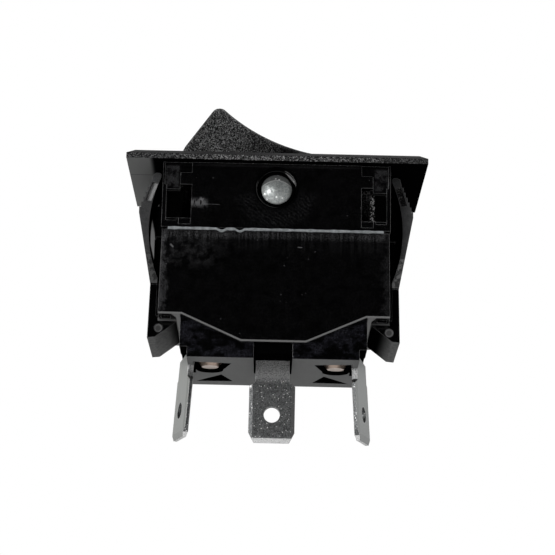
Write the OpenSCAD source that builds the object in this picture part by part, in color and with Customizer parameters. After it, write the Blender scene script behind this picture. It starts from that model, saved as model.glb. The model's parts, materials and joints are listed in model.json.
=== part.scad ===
// Snap-in panel rocker switch: one pole, two positions, three push-on tabs.
// Millimetres. +Z points out of the panel's front and X runs along the long side.
// The origin is the centre of the bezel's underside, which seats on the panel.
// The rocker rests with its left end up and its right end pressed flush.

/* [Rocker] */
// Width of the rocker across the switch
rocker_w = 16.4; // [14:0.2:20]
// Distance from the pivot to an end face while that end is pressed flush
rocker_reach = 14.1; // [13:0.1:16]
// Angle that the rocker tilts to each side of its middle
throw_angle = 17.5; // [14:0.5:18]
// Height of the dished top's lowest line above the pivot
saddle_h = 6.75; // [6:0.05:8]
// Radius of the dished top
dish_r = 25.5; // [22:0.5:32]
// Radius of the two finger tips at the ends of the dish
tip_round = 1.2; // [0.8:0.1:1.6]
// Radius of the rocker's long edges
edge_round = 0.7; // [0.4:0.1:0.9]
// Thickness of the rocker's top and sides
rocker_wall = 1.2; // [1:0.05:1.5]
// Thickness of the rocker's end faces
end_face_wall = 1.6; // [1.3:0.05:2]
// Height above the panel at which a raised side wall ends, out of sight in the bezel
side_cover = 0.9; // [0.6:0.05:1.2]
// How far the lower end arc stands past the flush end face
heel = 0.15; // [0.1:0.01:0.25]

/* [Pivot] */
// Depth of the pivot below the panel's front face
pivot_drop = 3.45; // [3.3:0.05:3.8]
// Diameter of the steel pin's shank
pin_d = 2.5; // [2:0.1:3]
// Diameter of the pin's domed heads
pin_head_d = 4.2; // [3.6:0.1:4.6]
// Height of each domed head
pin_head_h = 0.7; // [0.5:0.05:0.8]
// Diameter of the counterbore round each head
counterbore_d = 5.4; // [5:0.1:6]
// Width of the broken edge at the counterbore's mouth
mouth_break = 0.15; // [0.05:0.01:0.25]
// Running clearance on the radius between pin and rocker
pin_play = 0.04; // [0.02:0.01:0.08]

/* [Bezel] */
// Overhang of the bezel past each long side of the body
side_lip = 1.35; // [1:0.05:3]
// Overhang of the bezel past each end of the body, which covers the wings
end_lip = 5; // [4.5:0.1:7]
// Height of the bezel's upright rim
rim_h = 0.75; // [0.5:0.05:1.2]
// Height of the sloping band above the rim
crown_h = 0.75; // [0.5:0.05:1]
// Width of the sloping band
bevel_w = 1.1; // [0.8:0.05:1.4]
// Outward bow of the bezel's two short edges
end_bow = 0.15; // [0.05:0.01:0.3]

/* [Frame] */
// Height of the frame's skirt below the bezel
skirt_h = 9.25; // [9:0.05:10]
// Thickness of the skirt's long walls
side_wall = 1.3; // [1.25:0.05:1.8]
// Thickness of the skirt's end walls
end_wall = 1.05; // [0.9:0.05:1.5]
// Gap between the rocker's sides and the skirt
side_gap = 0.15; // [0.1:0.01:0.3]
// Gap between the rocker's end arc and the skirt
end_gap = 0.2; // [0.15:0.01:0.4]
// Width of each corner window
window_w = 3.4; // [3:0.1:3.6]
// Height of each corner window
window_h = 4.7; // [4.2:0.1:4.8]
// Width of the thin web that closes the outer part of each window
web_w = 2.2; // [1:0.1:2.4]
// Thickness of the stop ledge under each end of the rocker
stop_t = 0.55; // [0.4:0.05:0.6]
// Gap left between the pressed rocker and its stop
stop_gap = 0.05; // [0.03:0.01:0.1]

/* [Case] */
// Thickness of the seal between the frame and the case
gasket_t = 0.35; // [0.25:0.05:0.6]
// Height of the case from the seal to its corner ledges
case_h = 11.7; // [11.5:0.1:13]
// Outward flare of each end of the case, from top to bottom
case_flare = 0.15; // [0.05:0.01:0.25]
// Drop of the long walls' middle aprons below the corner ledges
apron_drop = 3.55; // [3:0.05:4]
// Half length of an apron's flat lower edge
apron_half = 4.35; // [4:0.05:5.5]
// Width of the broken lower edge of the case's long walls
edge_break = 0.2; // [0.1:0.02:0.3]
// Thickness of the corner ledges
ledge_t = 1.2; // [1:0.05:1.4]

/* [Wings] */
// Width of each spring wing across the switch
wing_w = 12.2; // [10:0.2:14]
// Reach of a wing's knee past the end of the body
wing_reach = 3.35; // [3:0.05:3.8]
// Depth of the knee below the panel's front face
knee_drop = 6.2; // [6:0.1:7]
// Gap between the wing's column and the case
wing_gap = 0.4; // [0.3:0.05:0.5]
// Thickness of the wing's column
wing_t = 1.1; // [1:0.05:1.2]
// Number of panel-gripping teeth on each wing
teeth = 6; // [4:1:8]
// Depth of each tooth's ledge
tooth_ledge = 0.25; // [0.15:0.05:0.4]
// Width of the ribs on the end walls that back up each wing
rib_w = 9; // [6:0.5:11]
// Height of those ribs off the end walls
rib_t = 1.15; // [0.5:0.05:1.2]
// Drop of a wing's foot below the corner ledge
foot_drop = 2.55; // [2:0.05:3]

/* [Base] */
// Length of the terminal base
base_l = 25; // [25:0.1:26]
// Thickness of the case's apron in front of the base
apron_t = 0.65; // [0.6:0.05:0.8]
// Depth of the base below the corner ledges
base_drop = 5.7; // [5.5:0.05:6.5]
// Fitting clearance between the base and the case
fit = 0.05; // [0.03:0.01:0.1]
// Thickness of the base's floor under the contacts
floor_t = 1.1; // [1:0.05:1.3]
// Depth of the pockets in the base's underside
pocket_t = 1; // [0.8:0.05:1.2]

/* [Terminals] */
// Width of a push-on tab
tab_w = 6.3; // [6.3:0.1:6.6]
// Thickness of the terminals' sheet
tab_t = 0.8; // [0.7:0.05:0.9]
// Length of a tab below its shoulders
tab_l = 7.8; // [7.5:0.1:9]
// Depth of the shoulders below the base
shoulder_drop = 2; // [1.8:0.1:3]
// Width of the neck above the shoulders
neck_w = 4.7; // [4.2:0.1:5]
// Height of the slope above each shoulder
shoulder_slope = 0.6; // [0.3:0.05:0.8]
// Diameter of the hole in each tab
tab_hole_d = 2.2; // [1.8:0.1:2.4]
// Distance from a tab's tip to its hole
hole_rise = 3.85; // [3.5:0.05:4.5]
// Distance of the outer tabs from the base's end faces, at their holes
tab_inset = 0.35; // [0.1:0.05:0.5]
// Turn of each outer tab about its own length
toe_angle = 17.7; // [10:0.5:20]
// Outward lean of each outer tab
lean_angle = 3.5; // [2:0.5:4]

/* [Contacts] */
// Distance of each contact pair from the middle
contact_x = 8.6; // [8.4:0.05:9]
// Offset of the contacts towards the near side
contact_offset = 0.9; // [0.5:0.05:1.2]
// Diameter of the contact heads
contact_d = 3.4; // [3:0.1:3.8]
// Height of the contact heads
contact_h = 0.9; // [0.7:0.05:1]
// Thickness of the moving lever's strip
lever_t = 0.6; // [0.5:0.05:0.7]
// Width of the lever
lever_w = 5.2; // [5:0.1:5.6]
// Half length of the lever
lever_half = 10.3; // [10.2:0.05:10.7]
// Angle that the lever tilts to each side of its middle
lever_angle = 8; // [6:0.5:9]
// Radius of the lever's saddle, in which the plunger rides
saddle_r = 10; // [9:0.25:12]
// Diameter of the lever's trunnions
trunnion_d = 1.2; // [1:0.05:1.3]
// Running clearance on the radius of the trunnions
trunnion_play = 0.05; // [0.03:0.01:0.08]
// Gap left between a closed pair of contacts
contact_gap = 0.05; // [0.03:0.01:0.1]

/* [Plunger] */
// Diameter of the plunger's body
plunger_d = 4; // [3.6:0.1:4.4]
// Diameter of the plunger's rounded nose
nose_d = 2.8; // [2.4:0.1:3]
// Outer diameter of the guide tube in the rocker
guide_d = 6.4; // [6:0.1:7]
// Depth of the guide tube below the pivot
guide_drop = 11.5; // [10.5:0.1:12]
// Gap between the nose and the lever at rest
nose_gap = 0.08; // [0.05:0.01:0.12]
// Free length of the plunger's body above the guide's mouth
plunger_body = 4; // [3.5:0.1:4.5]
// Diameter of the spring's wire
wire_d = 0.4; // [0.3:0.05:0.5]
// Number of turns of the spring
coils = 6; // [4:1:8]

/* [Hidden] */
$fn = 64;
eps = 0.01;
far = 60;

// Plastics and metals
black_plastic = [0.09, 0.09, 0.1];
dark_plastic = [0.13, 0.13, 0.14];
base_plastic = [0.17, 0.17, 0.18];
seal_grey = [0.62, 0.63, 0.64];
steel = [0.75, 0.76, 0.78];
tin = [0.66, 0.67, 0.68];
brass = [0.8, 0.66, 0.36];
silver = [0.86, 0.85, 0.82];
copper = [0.78, 0.5, 0.34];

// Body
sweep_r = rocker_reach + heel;
well_l = 2*(sweep_r + end_gap);
well_w = rocker_w + 2*side_gap;
body_l = well_l + 2*end_wall;
body_w = well_w + 2*side_wall;
bezel_l = body_l + 2*end_lip;
bezel_w = body_w + 2*side_lip;
bezel_top = rim_h + crown_h;
pivot_z = -pivot_drop;
stop_z = -skirt_h + stop_t;

// Frame windows
window_end = body_l/2 - 0.55;
window_top = -3.2;
step_t = 0.2;

// Legs that hold the frame to the case
leg_w = 2.4;
leg_t = 0.95;
leg_l = 3.8;
leg_x = body_l/2 - 3.4;
catch_h = 1.1;
catch_t = 0.4;
leg_root = 0.3;

// Heights down the case
case_top = -skirt_h - gasket_t;
ledge_z = case_top - case_h;
base_z = ledge_z - base_drop;
base_w = body_w - 2*apron_t - 2*fit;
rabbet_z = ledge_z + ledge_t - 0.2;
floor_z = base_z + pocket_t + floor_t;
plate_z = floor_z + tab_t;
shoulder_z = base_z - shoulder_drop;
tip_z = shoulder_z - tab_l;
hole_z = tip_z + hole_rise;
tab_x = base_l/2 - tab_inset;

// Terminal base
base_wall = 1.2;
base_end_wall = 0.75;
rebate_w = 1;
rebate_h = 1.4;
channel_w = neck_w + 0.45;
barb_w = 6;
barb_h = 0.7;
barb_t = 0.6;

// Lever and cradle: the lever's closed arm lies level on its contact
web_t = 0.5;
ear_t = 0.6;
ear_gap = 0.25;
rivet_d = 1.6;
rivet_y = 1.9;
tail_d = 3.2;
tail_h = 0.6;
saddle_drop = 0.1;
saddle_half = 6;
arm_rise = saddle_r - saddle_drop - sqrt(saddle_r^2 - saddle_half^2);
arm_top_at_contact = arm_rise + (contact_x - saddle_half)*tan(lever_angle);
closed_top = plate_z + 2*contact_h + contact_gap + lever_t;
lever_z = closed_top + contact_x*sin(lever_angle) - arm_top_at_contact*cos(lever_angle);
ear_y = lever_w/2 + ear_gap;
ear_rim = 0.7;
cradle_half = 2.2;
plate_end = 2.2;

// Plunger: how far down the nose may reach before it meets the lever's saddle
function turned(p, a) = [p[0]*cos(a) + p[1]*sin(a), p[1]*cos(a) - p[0]*sin(a)];
function dot2(a, b) = a[0]*b[0] + a[1]*b[1];
function nose_reach(share) =
    let (tilt = share*throw_angle,
         swing = share*lever_angle,
         start = turned([0, pivot_z - lever_z], swing) - [0, saddle_r - saddle_drop],
         way = turned([-sin(tilt), -cos(tilt)], swing),
         room = saddle_r - nose_d/2 - nose_gap,
         b = dot2(start, way),
         c = dot2(start, start) - room^2)
    sqrt(b^2 - c) - b;
nose_r = min([for (i = [0:8]) nose_reach(i/8)]);
plunger_top = guide_drop - plunger_body;
spring_seat = pin_d/2 + pin_play + 1.05;
slide_play = 0.03;

// A point given with the right end pressed flush or raised, in the rocker's own level frame
function pressed(x, z) = [x*cos(throw_angle) - z*sin(throw_angle),
    x*sin(throw_angle) + z*cos(throw_angle)];
function raised(x, z) = [x*cos(throw_angle) + z*sin(throw_angle),
    z*cos(throw_angle) - x*sin(throw_angle)];
lip_z = stop_z + stop_gap - pivot_z;
heel_angle = acos(rocker_reach/sweep_r);
lip_angle = asin(-lip_z/sweep_r);

module both_ends() {
    children();
    mirror([1, 0, 0]) children();
}

module both_sides() {
    children();
    mirror([0, 1, 0]) children();
}

module four_corners() {
    both_ends() both_sides() children();
}

// Extrudes an X-Z outline along Y
module across(width) {
    rotate([90, 0, 0]) linear_extrude(width, center = true) children();
}

// Box given by its low and high corners
module block(low, high) {
    translate(low) cube(high - low);
}

module along_y(d, length) {
    rotate([90, 0, 0]) cylinder(h = length, d = d, center = true);
}

// ---------- Frame ----------

module flange() {
    bow_r = ((bezel_w/2)^2 + end_bow^2)/(2*end_bow);
    intersection() {
        block([-bezel_l/2, -bezel_w/2, 0], [bezel_l/2, bezel_w/2, bezel_top]);
        across(bezel_w + 1) trapezoid(bezel_l/2);
        rotate([0, 0, 90]) across(bezel_l + 1) trapezoid(bezel_w/2);
        for (side = [-1, 1])
            translate([side*(bezel_l/2 - bow_r), 0, -1])
                cylinder(h = bezel_top + 2, r = bow_r, $fn = 720);
    }
}

module trapezoid(half) {
    polygon([[-half, 0], [half, 0], [half, rim_h], [half - bevel_w, bezel_top],
        [bevel_w - half, bezel_top], [-half, rim_h]]);
}

module window() {
    sill = window_top - window_h;
    block([window_end - window_w, well_w/2 - 1, sill], [window_end - web_w, body_w/2 + 1, window_top]);
    block([window_end - web_w - eps, well_w/2 + 0.5, sill], [window_end, body_w/2 + 1, window_top]);
}

// The lug that stays in a window's upper outer corner
module window_lug() {
    block([window_end - 1.85, well_w/2 + 0.1, window_top - 0.65],
        [window_end + eps, body_w/2 - step_t, window_top + eps]);
}

// Shallow steps in the skirt's face round each window
module corner_steps() {
    y = body_w/2 - step_t;
    edge = window_end - window_w;
    block([edge, y, -1.5], [window_end + 0.25, y + 1, 0]);
    block([window_end - 1.85, y, window_top - eps], [window_end + 0.25, y + 1, -1.5 + eps]);
    sill = window_top - window_h;
    block([edge, y, sill - 0.9], [window_end - 1.75, y + 1, sill + eps]);
    block([window_end - 1.45, y, sill - 0.4], [window_end, y + 1, sill + eps]);
}

// Leg with an outward catch that snaps into the case's long wall
module leg() {
    y = well_w/2 + 0.3;
    block([leg_x - leg_w/2, y - leg_t, -skirt_h - leg_l],
        [leg_x + leg_w/2, y, -skirt_h + leg_root]);
    translate([leg_x, y, -skirt_h - leg_l + catch_h + 0.2])
        rotate([0, 90, 0]) linear_extrude(leg_w, center = true)
            polygon([[0, -eps], [0, catch_t], [catch_h, -eps]]);
}

module stop_ledge() {
    block([rocker_reach - end_face_wall + 0.1, -well_w/2 - 0.1, -skirt_h],
        [well_l/2 + 0.1, well_w/2 + 0.1, stop_z]);
}

// Rib on the frame's end wall, sloping out from its top
module frame_rib() {
    x = body_l/2;
    across(rib_w) polygon([[x - 0.1, -3.6], [x + 0.2, -3.6], [x + rib_t, -5.2],
        [x + rib_t, -skirt_h], [x - 0.1, -skirt_h]]);
}

module bezel_frame() {
    color(black_plastic) difference() {
        union() {
            difference() {
                union() {
                    flange();
                    block([-body_l/2, -body_w/2, -skirt_h], [body_l/2, body_w/2, eps]);
                }
                block([-well_l/2, -well_w/2, -skirt_h - 1], [well_l/2, well_w/2, bezel_top + 1]);
                four_corners() window();
                four_corners() corner_steps();
            }
            four_corners() window_lug();
            four_corners() leg();
            both_ends() stop_ledge();
            both_ends() frame_rib();
        }
        translate([0, 0, pivot_z]) along_y(pin_d + 2*pin_play, body_w + 2);
        both_sides() translate([0, body_w/2, pivot_z]) rotate([-90, 0, 0]) counterbore();
    }
}

// Seat for a pin head, cut down from the wall's face at the origin
module counterbore() {
    translate([0, 0, -pin_head_h - 0.05]) cylinder(h = 2, d = counterbore_d);
    translate([0, 0, -mouth_break])
        cylinder(h = mouth_break + eps, d1 = counterbore_d, d2 = counterbore_d + 2*(mouth_break + eps));
}

// ---------- Rocker ----------

module rocker_outline() {
    difference() {
        polygon(concat(
            [[0, saddle_h + 4], pressed(rocker_reach, 8),
             pressed(rocker_reach, -sweep_r*sin(heel_angle))],
            [for (i = [0:4]) let (a = heel_angle + (lip_angle - heel_angle)*i/4)
                pressed(sweep_r*cos(a), -sweep_r*sin(a))],
            [pressed(rocker_reach - end_face_wall, lip_z), [0, -4.6]]));
        translate([0, saddle_h + dish_r]) circle(r = dish_r, $fn = 240);
    }
}

module rocker_shell() {
    minkowski() {
        across(rocker_w - 2*edge_round)
            offset(r = tip_round - edge_round, $fn = 32) offset(delta = -tip_round)
                both_ends() rocker_outline();
        sphere(r = edge_round, $fn = 24);
    }
}

// The hollow under the dish, between the side and end walls
module rocker_hollow() {
    inner = rocker_reach - end_face_wall;
    across(rocker_w - 2*rocker_wall) difference() {
        both_ends() polygon([[0, saddle_h + 4], pressed(inner, 8), pressed(inner, -sweep_r),
            [0, -sweep_r]]);
        translate([0, saddle_h + dish_r]) circle(r = dish_r + rocker_wall + 0.3, $fn = 240);
    }
}

// Clears the side walls below the slope from the pivot boss to the end faces
module rocker_side_cut() {
    inner = rocker_reach - end_face_wall;
    boss = pin_d/2 + 1.6;
    cover = side_cover - pivot_z;
    fan_x = 0.45*rocker_reach;
    corner = raised(inner + 0.2, cover);
    across(rocker_w + 2) {
        both_ends() polygon([[boss, -boss], raised(fan_x, cover), corner,
            pressed(inner, corner[1]*cos(throw_angle) - corner[0]*sin(throw_angle)),
            pressed(inner, -sweep_r), [boss, -sweep_r]]);
        polygon([[-boss - eps, -boss], [boss + eps, -boss], [boss + eps, -sweep_r],
            [-boss - eps, -sweep_r]]);
    }
}

module rocker_level() {
    difference() {
        union() {
            difference() {
                rocker_shell();
                rocker_hollow();
                rocker_side_cut();
            }
            translate([0, 0, -guide_drop])
                cylinder(h = guide_drop + saddle_h - rocker_wall, d = guide_d);
            block([-0.7, -rocker_w/2 + 0.5, -pin_d/2 - 1.4],
                [0.7, rocker_w/2 - 0.5, saddle_h - rocker_wall]);
        }
        along_y(pin_d + 2*pin_play, rocker_w + 2);
        translate([0, 0, -guide_drop - 1])
            cylinder(h = guide_drop + 1 - spring_seat, d = plunger_d + 2*slide_play);
    }
}

module at_rocker() {
    translate([0, 0, pivot_z]) rotate([0, throw_angle, 0]) children();
}

module rocker() {
    color(dark_plastic) at_rocker() rocker_level();
}

module pin_head() {
    cap_r = ((pin_head_d/2)^2 + pin_head_h^2)/(2*pin_head_h);
    intersection() {
        translate([0, 0, pin_head_h - cap_r]) sphere(r = cap_r, $fn = 96);
        cylinder(h = pin_head_h + 1, d = pin_head_d);
    }
}

module pivot_pin() {
    reach = body_w - 2*pin_head_h - 0.1;
    color(steel) translate([0, 0, pivot_z]) {
        along_y(pin_d, reach + eps);
        both_sides() translate([0, reach/2, 0]) rotate([-90, 0, 0]) pin_head();
    }
}

module plunger() {
    color(base_plastic) at_rocker() {
        translate([0, 0, -guide_drop]) cylinder(h = plunger_body, d = plunger_d);
        translate([0, 0, -nose_r]) cylinder(h = nose_r - guide_drop + eps, d = nose_d);
        translate([0, 0, -nose_r]) sphere(d = nose_d);
    }
}

// Coil spring: a round wire carried along a helix, with a ring of points at each step
module plunger_spring() {
    sides = 8;
    steps = 16*coils;
    low = -plunger_top + wire_d/2 + 0.02;
    high = -spring_seat - wire_d/2 - 0.02;
    mid_r = plunger_d/2 - wire_d/2 - 0.15;
    points = [for (i = [0:steps], j = [0:sides - 1])
        let (a = 360*coils*i/steps, b = 360*j/sides, r = mid_r + wire_d/2*cos(b))
        [r*cos(a), r*sin(a), low + (high - low)*i/steps + wire_d/2*sin(b)]];
    skin = [for (i = [0:steps - 1], j = [0:sides - 1])
        let (k = i*sides, n = (j + 1) % sides)
        [k + j, k + sides + j, k + sides + n, k + n]];
    ends = [[for (j = [0:sides - 1]) j], [for (j = [sides - 1:-1:0]) steps*sides + j]];
    color(steel) at_rocker() polyhedron(points, concat(skin, ends));
}

// ---------- Seal, case and base ----------

module joint_gasket() {
    notch = 0.95;
    color(seal_grey) difference() {
        block([-body_l/2 + 0.1, -body_w/2 + 0.05, case_top],
            [body_l/2 - 0.1, body_w/2 - 0.05, -skirt_h]);
        block([-well_l/2, -well_w/2 - 0.35, case_top - 1], [well_l/2, well_w/2 + 0.35, 0]);
        four_corners() block([body_l/2 - notch, body_w/2 - notch, case_top - 1], [body_l/2, body_w/2, 0]);
    }
}

// Lower outline of the case's long walls, from one end to the other
case_foot = let (half = body_l/2, knee = base_l/2 - 0.15, low = ledge_z - apron_drop)
    [[-half, ledge_z], [-knee, ledge_z], [-apron_half, low], [apron_half, low], [knee, ledge_z],
     [half, ledge_z]];

module case_outline() {
    half = body_l/2;
    polygon(concat([[half - case_flare, case_top], [case_flare - half, case_top]], case_foot));
}

// Breaks the long walls' outer edge along the case's lower outline
module case_edge_cut() {
    for (i = [0:len(case_foot) - 2])
        let (run = case_foot[i + 1] - case_foot[i])
        translate([case_foot[i][0], 0, case_foot[i][1]]) rotate([0, -atan2(run[1], run[0]), 0])
            rotate([90, 0, 90]) translate([0, 0, -0.05]) linear_extrude(norm(run) + 0.1)
                polygon([[-body_w/2 - 1, -1], [1 + edge_break - body_w/2, -1],
                    [-body_w/2 - 1, 1 + edge_break]]);
}

// Outline of one spring wing: foot, column, sprung blade, toothed shoulder and rounded head
module wing_outline() {
    end_x = body_l/2;
    column_in = end_x + wing_gap + 0.05;
    column_out = column_in + wing_t;
    knee_x = end_x + wing_reach;
    root_z = ledge_z + 4.9;
    tooth_low = -knee_drop + 0.8;
    tooth_high = -1.1;
    head_x = column_out + 0.2;
    pitch = (tooth_high - tooth_low)/teeth;
    lean = (knee_x - head_x)/teeth;
    bow_r = 18.4;
    bow_out = end_x + 1.9;
    foot_z = ledge_z - foot_drop;
    difference() {
        polygon(concat(
            [[base_l/2 + 0.7, ledge_z + 0.2], [base_l/2 + 0.7, ledge_z - 0.3],
             [end_x + 0.5, foot_z + 0.1], [column_out, foot_z], [column_out - 0.15, root_z],
             [knee_x, -knee_drop]],
            [for (i = [0:teeth - 1]) each [
                [knee_x - i*lean, tooth_low + i*pitch],
                [knee_x - i*lean - tooth_ledge, tooth_low + i*pitch]]],
            [[head_x - 0.1, tooth_high], [head_x - 0.25, -0.65], [head_x - 0.6, -0.45],
             [column_in + 0.2, -0.45], [column_in, -0.65], [column_in, ledge_z + 0.5],
             [end_x - 0.3, ledge_z + 0.5]]));
        translate([bow_out - bow_r, -8.3]) circle(r = bow_r, $fn = 360);
    }
}

module wing() {
    end_x = body_l/2;
    difference() {
        across(wing_w) wing_outline();
        both_sides() translate([0, wing_w/2 - 0.45, 0]) wing_pocket();
        both_sides() block([end_x - 1, wing_w/2 - 0.12, -16.4], [end_x + 4, wing_w/2 + 1, -12]);
        both_sides() translate([end_x + 0.1, wing_w/2 - 0.12, ledge_z - 1.2])
            rotate([-90, 0, 0]) cylinder(h = 1, d = 1.1);
    }
}

// Slanting pocket beside the teeth
module wing_pocket() {
    x = body_l/2;
    rotate([90, 0, 0]) mirror([0, 0, 1]) linear_extrude(1)
        polygon([[x + 0.85, -1.95], [x + 1.6, -1.75], [x + 2.5, -4.45], [x + 1.7, -4.55]]);
}

// Rib on the case's end wall, which joins the wing's column below the sprung blade
module case_rib() {
    x = body_l/2;
    root = x - case_flare - 0.1;
    blade_root = case_top - 3.3;
    across(rib_w) polygon([[root, case_top], [x + rib_t, case_top], [x + rib_t, blade_root],
        [x + wing_gap + wing_t, blade_root - 0.5], [x + wing_gap + 0.6, ledge_z],
        [root, ledge_z + 0.1]]);
}

// Channel and catch pocket for one leg of the frame
module leg_pocket() {
    y = well_w/2 - 0.1;
    block([leg_x - leg_w/2 - 0.1, y, -skirt_h - leg_l - 0.3],
        [leg_x + leg_w/2 + 0.1, well_w/2 + 0.35, case_top + 1]);
    block([leg_x - leg_w/2 - 0.1, y, -skirt_h - leg_l - 0.3],
        [leg_x + leg_w/2 + 0.1, well_w/2 + 0.3 + catch_t + 0.1, -skirt_h - leg_l + catch_h + 0.25]);
}

module lower_case() {
    chamber = well_w/2;
    base_end = base_l/2 + fit;
    color(black_plastic) difference() {
        union() {
            difference() {
                across(body_w) case_outline();
                both_sides() case_edge_cut();
            }
            both_ends() wing();
            both_ends() case_rib();
        }
        block([-well_l/2, -chamber, ledge_z + ledge_t], [well_l/2, chamber, case_top + 1]);
        block([-base_end, -base_w/2 - fit, base_z - 1], [base_end, base_w/2 + fit, rabbet_z]);
        block([-base_end, -chamber, rabbet_z - eps], [base_end, chamber, ledge_z + ledge_t + eps]);
        four_corners() leg_pocket();
        four_corners() block([body_l/2 - 1.6, wing_w/2 + 0.65, ledge_z - 1],
            [body_l/2 - 0.35, wing_w/2 + 1.95, ledge_z + 0.6]);
    }
}

// Pockets in the underside of one half of the base: a slanting one and a pointed one
module underside_pockets() {
    inner = contact_x - 3;
    outer = contact_x + 2.1;
    side = base_w/2;
    translate([0, 0, base_z - 1]) linear_extrude(pocket_t + 1) {
        polygon([[outer, 2.95 - side], [inner, 3.65 - side], [inner + 1.4, -0.5], [outer, -1]]);
        polygon([[outer, side - 2.45], [inner, side - 2.75], [inner + 1.5, 1.9]]);
        translate([contact_x, -contact_offset]) circle(d = tail_d + 0.4);
    }
}

// Where an outer terminal's leg goes down through the base
leg_centre = base_l/2 - 1.2;
root_w = 3.2;
leg_y = -1.5;
notch_z = floor_z - 0.3;
neck_rise = base_z + rebate_h - 0.15 - shoulder_z;

module base_barb() {
    x = base_l/2;
    z = ledge_z + ledge_t + 0.02;
    block([x - base_end_wall, -barb_w/2, rabbet_z - fit - eps], [x, barb_w/2, z + barb_h]);
    across(barb_w) polygon([[x - eps, z], [x + barb_t, z], [x - eps, z + barb_h]]);
}

module terminal_base() {
    top = rabbet_z - fit;
    half = base_l/2;
    near = -base_w/2;
    color(base_plastic) difference() {
        union() {
            difference() {
                block([-half, near, base_z], [half, -near, top]);
                block([base_end_wall - half, near + base_wall, floor_z],
                    [half - base_end_wall, -near - base_wall, top + 1]);
            }
            block([-cradle_half, -ear_y - ear_t, floor_z - eps], [cradle_half, -tab_t/2 - fit, plate_z]);
            both_ends() base_barb();
        }
        both_ends() underside_pockets();
        both_ends() block([half - rebate_w, near - 1, base_z - 1],
            [half + 1, -near + 1, base_z + rebate_h]);
        both_ends() block([leg_centre - tab_t/2 - fit, leg_y - root_w/2 - fit, base_z - 1],
            [leg_centre + tab_t/2 + fit, leg_y + root_w/2 + fit, floor_z + 1]);
        both_ends() block([half - 1.95, leg_y - 2.5, base_z - 1], [half + 1, leg_y + 2.5, notch_z]);
        both_ends() translate([contact_x, -contact_offset, base_z - 1])
            cylinder(h = far, d = rivet_d + 2*fit);
        // Channel from the near face to the common terminal
        block([-channel_w/2, near - 1, base_z - 1], [channel_w/2, tab_t/2 + 0.3, base_z + 0.8]);
        block([-channel_w/2, near + 1.1, base_z - 1], [channel_w/2, tab_t/2 + 0.3, floor_z - 0.5]);
        block([-channel_w/2, near - 1, base_z - 1],
            [channel_w/2, near + 0.5, ledge_z - apron_drop + 0.1]);
        block([-neck_w/2 - fit, -tab_t/2 - fit, base_z], [neck_w/2 + fit, tab_t/2 + fit, floor_z + 1]);
        translate([0, rivet_y, base_z - 1]) cylinder(h = far, d = rivet_d + 2*fit);
        translate([0, rivet_y, base_z - 1]) cylinder(h = pocket_t + 1, d = tail_d + 0.4);
    }
}

// ---------- Terminals and contacts ----------

// One push-on tab with bevelled sides and tip, and its neck, with the shoulders at the origin
module tab(neck_top) {
    half = tab_w/2;
    nip = 0.75;
    side_bevel = 0.5;
    tip_bevel = 0.9;
    thin = 0.22;
    difference() {
        intersection() {
            across(tab_t) polygon([[-half, 0], [-neck_w/2, shoulder_slope], [-neck_w/2, neck_top],
                [neck_w/2, neck_top], [neck_w/2, shoulder_slope], [half, 0],
                [half, -tab_l + 1.4], [half - nip, -tab_l], [nip - half, -tab_l], [-half, -tab_l + 1.4]]);
            translate([0, 0, -tab_l - 1]) linear_extrude(tab_l + neck_top + 2)
                polygon([[-half, -thin], [side_bevel - half, -tab_t/2], [half - side_bevel, -tab_t/2],
                    [half, -thin], [half, thin], [half - side_bevel, tab_t/2],
                    [side_bevel - half, tab_t/2], [-half, thin]]);
            rotate([0, 0, 90]) across(tab_w + 1)
                polygon([[-tab_t/2, neck_top + 1], [-tab_t/2, tip_bevel - tab_l], [-thin, -tab_l],
                    [thin, -tab_l], [tab_t/2, tip_bevel - tab_l], [tab_t/2, neck_top + 1]]);
        }
        translate([0, 0, -tab_l + hole_rise]) along_y(tab_hole_d, tab_t + 2);
    }
}

module common_terminal() {
    color(tin) {
        translate([0, 0, shoulder_z]) tab(plate_z - shoulder_z);
        difference() {
            block([-neck_w/2, -tab_t/2, floor_z], [neck_w/2, rivet_y + plate_end, plate_z]);
            translate([0, rivet_y, floor_z - 1]) cylinder(h = 3, d = rivet_d + 2*fit);
        }
    }
}

// Carries the tab to the right-hand outer terminal's place, toed out and leaning out
module at_outer_tab() {
    translate([tab_x, leg_y, hole_z]) rotate([0, -lean_angle, 0]) rotate([0, 0, 90 - toe_angle])
        translate([0, 0, shoulder_z - hole_z]) children();
}

module outer_terminal() {
    half_plate = neck_w/2;
    shy = 0.03;
    thin = tab_t/2 - shy;
    color(tin) {
        difference() {
            block([contact_x - 2.1, -contact_offset - half_plate, floor_z],
                [leg_centre + tab_t/2, -contact_offset + half_plate, plate_z]);
            translate([contact_x, -contact_offset, floor_z - 1]) cylinder(h = 3, d = rivet_d + 2*fit);
        }
        block([leg_centre - tab_t/2, leg_y - root_w/2, notch_z],
            [leg_centre + tab_t/2, leg_y + root_w/2, plate_z]);
        hull() {
            block([leg_centre - thin, leg_y - root_w/2 + shy, notch_z],
                [leg_centre + thin, leg_y + root_w/2 - shy, notch_z + 0.1]);
            at_outer_tab() block([shy - neck_w/2, -thin, neck_rise - 0.1],
                [neck_w/2 - shy, thin, neck_rise]);
        }
        at_outer_tab() tab(neck_rise);
    }
}

module right_terminal() {
    outer_terminal();
}

module left_terminal() {
    mirror([1, 0, 0]) outer_terminal();
}

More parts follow.
